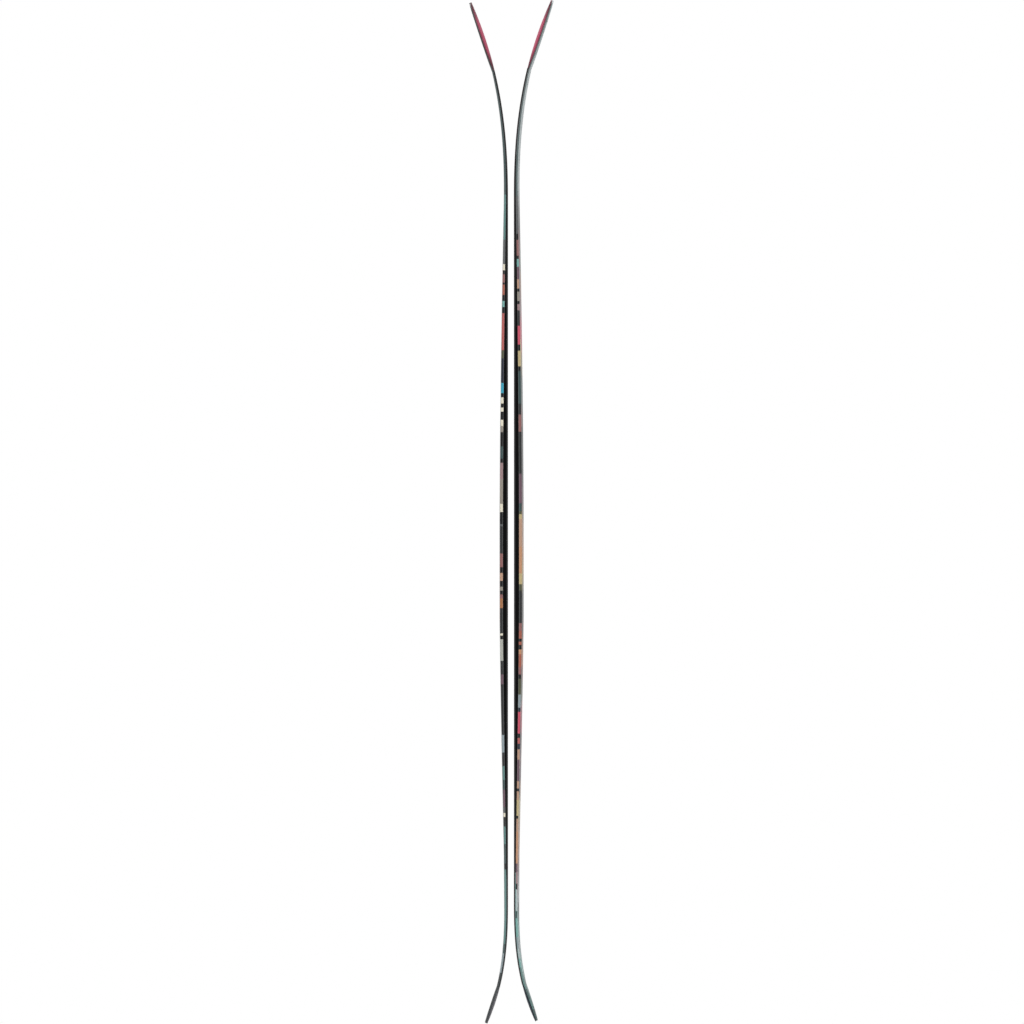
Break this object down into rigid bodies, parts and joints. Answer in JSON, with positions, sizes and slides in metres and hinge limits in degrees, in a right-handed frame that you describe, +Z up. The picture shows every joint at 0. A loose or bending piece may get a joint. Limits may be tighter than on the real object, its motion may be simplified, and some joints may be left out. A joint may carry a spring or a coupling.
{
  "type": "pair of skis",
  "caption": "Pair of twin-tip freeride skis standing base to base: layered flat boards, thick at the waist, with flared tips and tails.",
  "frame": {"origin": "on the pair's mid plane, under the tails, level with the left ski's tail end", "axes": "+Z up the skis from tail to tip, +X from the left ski to the right one, +Y across the skis"},
  "size_m": [0.1486, 0.1311, 1.804],
  "materials": {
    "topsheet": "printed topsheet under a clear gloss",
    "laminate": "glass fibre in resin",
    "plate": "bare aluminium sheet",
    "core": "light sawn wood",
    "stringer": "denser sawn wood",
    "sidewall": "black, finely milled",
    "spacer": "plastic coloured in its mass to match the print, finely milled at the rim",
    "foil": "thin black rubber sheet",
    "edge": "ground steel",
    "base": "black sintered sheet, stone ground",
    "tip_inlay": "crimson base sheet",
    "tail_inlay": "smoke grey base sheet, a little bluer on the right ski"
  },
  "bodies": {
    "left_ski": {"left_topsheet": "topsheet", "left_upper_laminate": "laminate", "left_binding_plate": "plate", "left_core_centre": "core", "left_core_stringer_front": "stringer", "left_core_stringer_back": "stringer", "left_core_outer_front": "core", "left_core_outer_back": "core", "left_sidewall_front": "sidewall", "left_sidewall_back": "sidewall", "left_tip_spacer": "spacer", "left_tail_spacer": "spacer", "left_lower_laminate": "laminate", "left_rubber_foil": "foil", "left_steel_edge_front": "edge", "left_steel_edge_back": "edge", "left_base": "base", "left_tip_inlay": "tip_inlay", "left_tail_inlay": "tail_inlay"},
    "right_ski": {"right_topsheet": "topsheet", "right_upper_laminate": "laminate", "right_binding_plate": "plate", "right_core_centre": "core", "right_core_stringer_front": "stringer", "right_core_stringer_back": "stringer", "right_core_outer_front": "core", "right_core_outer_back": "core", "right_sidewall_front": "sidewall", "right_sidewall_back": "sidewall", "right_tip_spacer": "spacer", "right_tail_spacer": "spacer", "right_lower_laminate": "laminate", "right_rubber_foil": "foil", "right_steel_edge_front": "edge", "right_steel_edge_back": "edge", "right_base": "base", "right_tip_inlay": "tip_inlay", "right_tail_inlay": "tail_inlay"}
  },
  "joints": [
    {"name": "pair_slide", "type": "slide", "parent": "left_ski", "child": "right_ski", "axis": [1, 0, 0], "range_m": [0, 0.3]}
  ]
}
